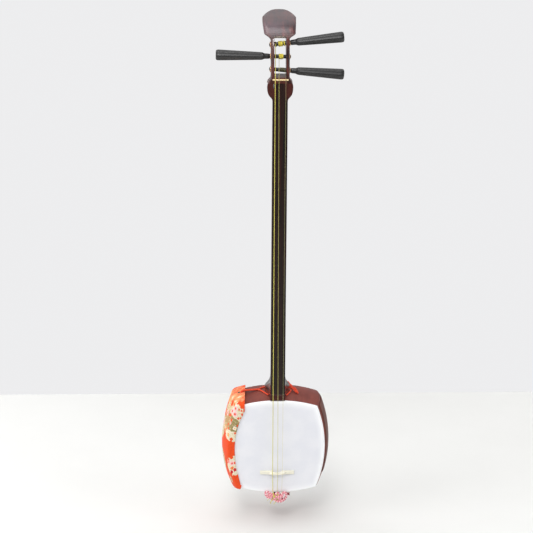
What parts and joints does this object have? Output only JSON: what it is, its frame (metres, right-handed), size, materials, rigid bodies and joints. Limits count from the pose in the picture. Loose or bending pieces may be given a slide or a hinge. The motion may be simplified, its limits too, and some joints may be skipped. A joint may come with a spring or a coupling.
{
  "type": "three-stringed long-necked lute",
  "caption": "Long-necked plucked lute: skin-covered box body, slim jointed neck, bent-back head with tuning pegs, strings over a low bridge, patterned arm cover and tail cord.",
  "frame": {"origin": "lowest point of the body box on its centre plane, where a stand's cradle carries it", "axes": "+Z along the neck towards the head, -Y out of the played front skin, +X to the right seen from the front"},
  "size_m": [0.2339, 0.1057, 0.9642],
  "materials": {
    "rosewood": "polished dark red-brown, blackish streaks",
    "quince": "satin red-brown with fine grain",
    "ebony": "polished black",
    "gilt_metal": "gilt",
    "steel": "satin",
    "bone": "ivory-like, smooth",
    "skin": "stretched white skin, dull",
    "silk": "yellow twisted silk",
    "cord_pink": "braided pink and white cord",
    "cord_red": "vermilion round cord",
    "cloth": "vermilion cloth with flower pattern over stiff card",
    "rubber": "dark brown, dull"
  },
  "bodies": {
    "instrument": {"head": "rosewood", "upper_neck": "rosewood", "middle_neck": "rosewood", "lower_neck": "rosewood", "peg_1_ferrule_handle": "gilt_metal", "peg_1_ferrule_far": "gilt_metal", "peg_2_ferrule_handle": "gilt_metal", "peg_2_ferrule_far": "gilt_metal", "peg_3_ferrule_handle": "gilt_metal", "peg_3_ferrule_far": "gilt_metal", "upper_bridge": "bone", "body_board_top": "quince", "body_board_bottom": "quince", "body_board_left": "quince", "body_board_right": "quince", "front_skin": "skin", "back_skin": "skin", "string_1": "silk", "string_2": "silk", "string_3": "silk", "tail_cord": "cord_pink", "arm_cover": "cloth", "arm_cover_eyelet": "gilt_metal", "arm_cover_cord_rear": "cord_red", "arm_cover_cord_left": "cord_red", "arm_cover_cord_right": "cord_red", "knee_rubber": "rubber"},
    "peg_1_body": {"peg_1": "ebony", "peg_1_winding": "silk"},
    "peg_2_body": {"peg_2": "ebony", "peg_2_winding": "silk"},
    "peg_3_body": {"peg_3": "ebony", "peg_3_winding": "silk"},
    "bridge_body": {"bridge": "bone"},
    "sawari_screw_body": {"sawari_screw": "steel", "sawari_pin": "steel"}
  },
  "joints": [
    {"name": "peg_1_turn", "type": "hinge", "parent": "instrument", "child": "peg_1_body", "pos_m": [0, -0.026, 0.8903], "axis": [0.994, 0, 0.1097], "continuous": true},
    {"name": "peg_2_turn", "type": "hinge", "parent": "instrument", "child": "peg_2_body", "pos_m": [0, -0.031, 0.8679], "axis": [-0.9998, 0, 0.0209], "continuous": true},
    {"name": "peg_3_turn", "type": "hinge", "parent": "instrument", "child": "peg_3_body", "pos_m": [0, -0.0355, 0.8445], "axis": [0.9977, 0, -0.068], "continuous": true},
    {"name": "bridge_slide", "type": "slide", "parent": "instrument", "child": "bridge_body", "axis": [0, 0, 1], "range_m": [-0.015, 0.025], "deforming": ["string_1", "string_2", "string_3"]},
    {"name": "sawari_screw_turn", "type": "hinge", "parent": "instrument", "child": "sawari_screw_body", "pos_m": [-0.0113, -0.02, 0.816], "axis": [0, -1, 0], "range_deg": [-360, 360]}
  ]
}
